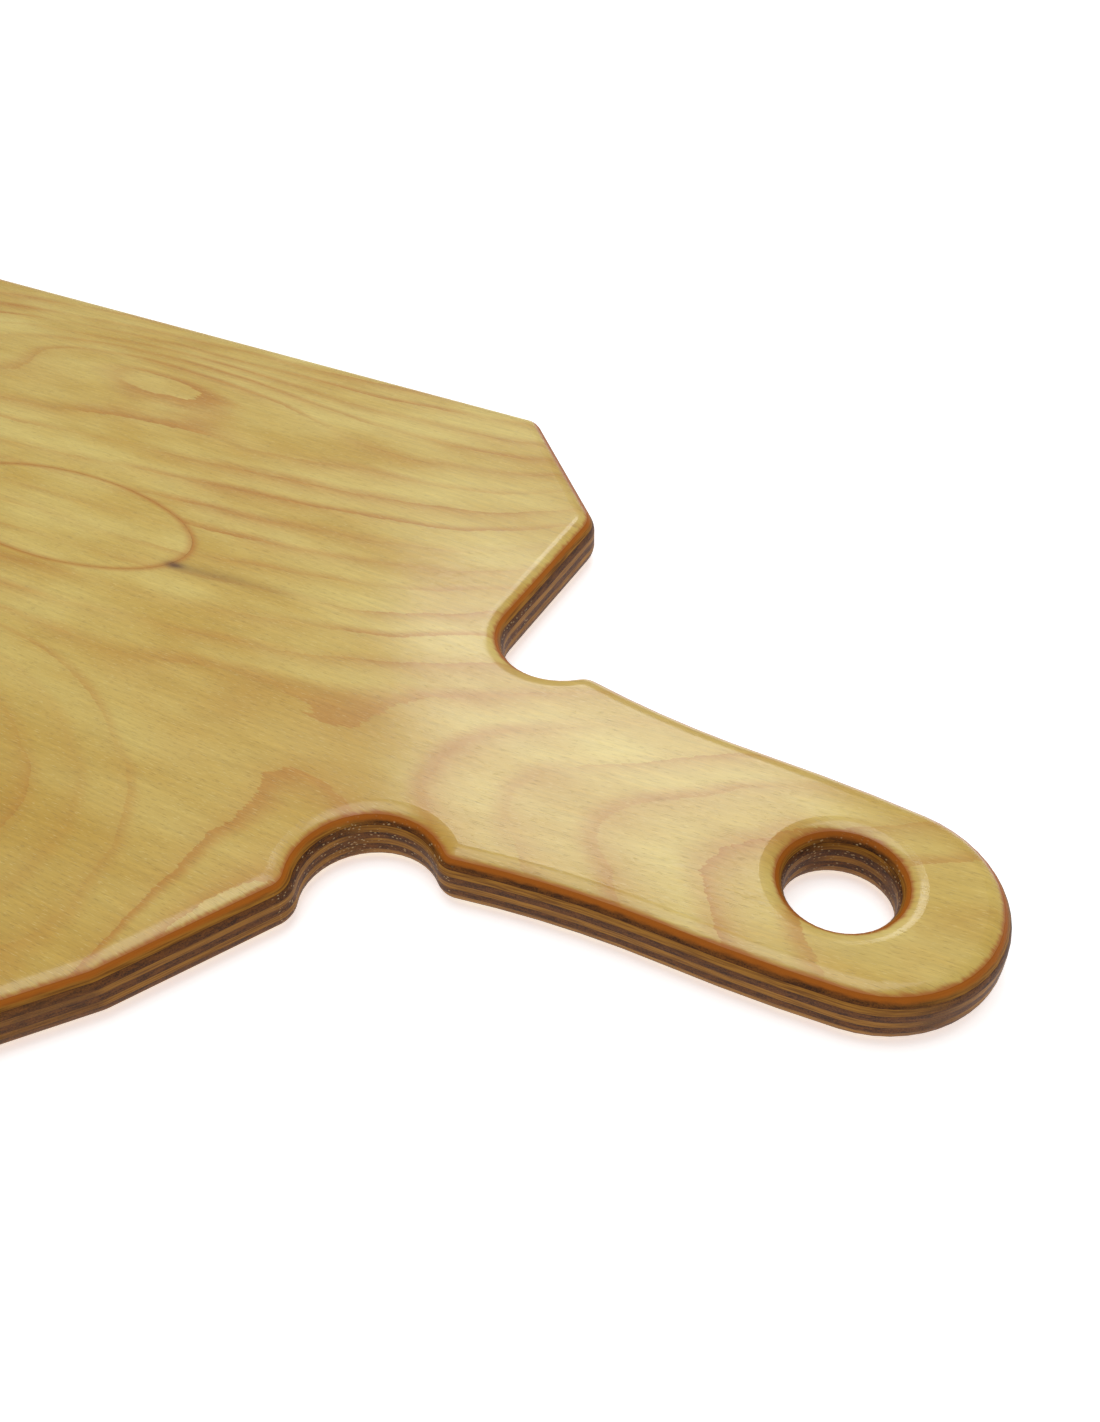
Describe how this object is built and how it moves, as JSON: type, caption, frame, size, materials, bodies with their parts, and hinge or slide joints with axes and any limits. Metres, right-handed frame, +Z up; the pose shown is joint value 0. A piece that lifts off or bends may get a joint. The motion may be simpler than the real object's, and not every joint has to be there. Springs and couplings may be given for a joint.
{
  "type": "plywood paddle board",
  "caption": "Flat lacquered plywood hand board with clipped corners, a paddle handle with a hanging hole, and a finger notch on each side of the handle's root.",
  "frame": {"origin": "centre of the board's outline box, on its underside", "axes": "+X runs along the handle to its tip, +Y is across the board towards the square left shoulder, +Z is up out of the patched top face"},
  "size_m": [0.3916, 0.217, 0.012],
  "materials": {
    "face_veneer": "rotary-cut birch face veneer under clear satin-gloss lacquer, grain along the handle",
    "patch_veneer": "oval repair patch of birch veneer, sanded flush and lacquered with the face",
    "long_veneer": "inner birch veneer with its grain along the handle, lacquered edge",
    "cross_veneer": "inner birch veneer with its grain across the handle, lacquered edge",
    "glue_film": "cured dark brown phenolic glue line"
  },
  "bodies": {
    "root": {"veneer_1_bottom_face": "face_veneer", "glue_film_1": "glue_film", "veneer_2_cross_grain": "cross_veneer", "glue_film_2": "glue_film", "veneer_3_long_grain": "long_veneer", "glue_film_3": "glue_film", "veneer_4_cross_grain": "cross_veneer", "glue_film_4": "glue_film", "veneer_5_long_grain": "long_veneer", "glue_film_5": "glue_film", "veneer_6_cross_grain": "cross_veneer", "glue_film_6": "glue_film", "veneer_7_long_grain": "long_veneer", "glue_film_7": "glue_film", "veneer_8_cross_grain": "cross_veneer", "glue_film_8": "glue_film", "veneer_9_top_face": "face_veneer", "face_patch": "patch_veneer"}
  },
  "joints": []
}
